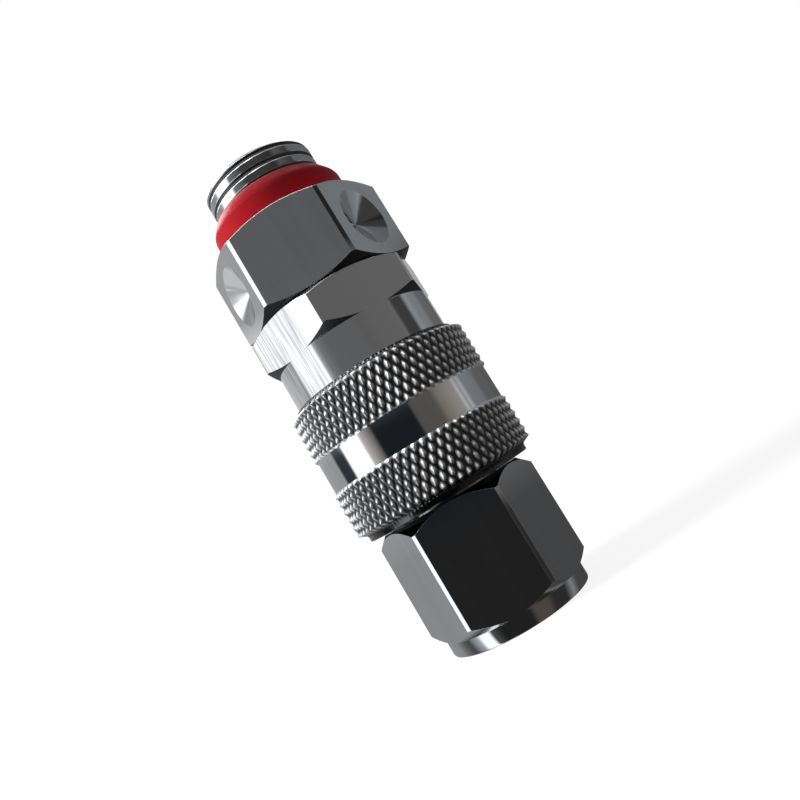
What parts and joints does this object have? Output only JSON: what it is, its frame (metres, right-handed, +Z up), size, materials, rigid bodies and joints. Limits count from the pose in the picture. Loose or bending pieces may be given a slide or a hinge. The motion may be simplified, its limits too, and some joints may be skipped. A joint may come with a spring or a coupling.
{
  "type": "quick connect fitting",
  "caption": "Chrome-plated compressed-air quick coupling shown coupled: threaded socket with sliding knurled locking sleeve on a hexagonal plug.",
  "frame": {"origin": "middle of the plug's lower face, on the bore axis", "axes": "+Z up along the bore, from the plug toward the threaded spigot; -Y toward the plug flat that faces the viewer"},
  "size_m": [0.022, 0.022, 0.0584],
  "materials": {
    "chrome_plate": "polished",
    "red_seal": "satin",
    "black_rubber": "matte",
    "valve_brass": "machined",
    "spring_steel": "satin",
    "ball_steel": "polished"
  },
  "bodies": {
    "plug": {"plug": "chrome_plate"},
    "socket": {"socket_body": "chrome_plate", "inlet_adapter": "chrome_plate", "sealing_washer": "red_seal", "adapter_o_ring": "black_rubber", "plug_seal": "black_rubber", "retaining_ring": "spring_steel", "valve_spring": "spring_steel"},
    "valve": {"valve_poppet": "valve_brass", "valve_seal": "black_rubber"},
    "spring": {"sleeve_spring": "spring_steel"},
    "sleeve": {"locking_sleeve": "chrome_plate"},
    "ball_1": {"locking_ball_1": "ball_steel"},
    "ball_2": {"locking_ball_2": "ball_steel"},
    "ball_3": {"locking_ball_3": "ball_steel"},
    "ball_4": {"locking_ball_4": "ball_steel"},
    "ball_5": {"locking_ball_5": "ball_steel"},
    "ball_6": {"locking_ball_6": "ball_steel"},
    "ball_7": {"locking_ball_7": "ball_steel"},
    "ball_8": {"locking_ball_8": "ball_steel"}
  },
  "joints": [
    {"name": "swivel", "type": "hinge", "parent": "plug", "child": "socket", "pos_m": [0, 0, 0.0192], "axis": [0, 0, 1], "continuous": true},
    {"name": "sleeve_turn", "type": "hinge", "parent": "socket", "child": "spring", "pos_m": [0, 0, 0.023], "axis": [0, 0, 1], "continuous": true},
    {"name": "sleeve_slide", "type": "slide", "parent": "spring", "child": "sleeve", "axis": [0, 0, 1], "range_m": [0, 0.003], "stiffness_N_per_m": 800, "springref_m": -0.008, "deforming": ["sleeve_spring"]},
    {"name": "valve_lift", "type": "slide", "parent": "socket", "child": "valve", "axis": [0, 0, 1], "range_m": [0, 0.0015], "stiffness_N_per_m": 400, "springref_m": -0.006, "deforming": ["valve_spring"]},
    {"name": "ball_1_lift", "type": "slide", "parent": "socket", "child": "ball_1", "axis": [1, 0, 0], "range_m": [0, 0.00095]},
    {"name": "ball_2_lift", "type": "slide", "parent": "socket", "child": "ball_2", "axis": [0.7071, 0.7071, 0], "range_m": [0, 0.00095]},
    {"name": "ball_3_lift", "type": "slide", "parent": "socket", "child": "ball_3", "axis": [0, 1, 0], "range_m": [0, 0.00095]},
    {"name": "ball_4_lift", "type": "slide", "parent": "socket", "child": "ball_4", "axis": [-0.7071, 0.7071, 0], "range_m": [0, 0.00095]},
    {"name": "ball_5_lift", "type": "slide", "parent": "socket", "child": "ball_5", "axis": [-1, 0, 0], "range_m": [0, 0.00095]},
    {"name": "ball_6_lift", "type": "slide", "parent": "socket", "child": "ball_6", "axis": [-0.7071, -0.7071, 0], "range_m": [0, 0.00095]},
    {"name": "ball_7_lift", "type": "slide", "parent": "socket", "child": "ball_7", "axis": [0, -1, 0], "range_m": [0, 0.00095]},
    {"name": "ball_8_lift", "type": "slide", "parent": "socket", "child": "ball_8", "axis": [0.7071, -0.7071, 0], "range_m": [0, 0.00095]}
  ],
  "couplings": [
    {"joint": "ball_1_lift", "follows": "sleeve_slide", "ratio": 0.31667},
    {"joint": "ball_2_lift", "follows": "sleeve_slide", "ratio": 0.31667},
    {"joint": "ball_3_lift", "follows": "sleeve_slide", "ratio": 0.31667},
    {"joint": "ball_4_lift", "follows": "sleeve_slide", "ratio": 0.31667},
    {"joint": "ball_5_lift", "follows": "sleeve_slide", "ratio": 0.31667},
    {"joint": "ball_6_lift", "follows": "sleeve_slide", "ratio": 0.31667},
    {"joint": "ball_7_lift", "follows": "sleeve_slide", "ratio": 0.31667},
    {"joint": "ball_8_lift", "follows": "sleeve_slide", "ratio": 0.31667}
  ]
}
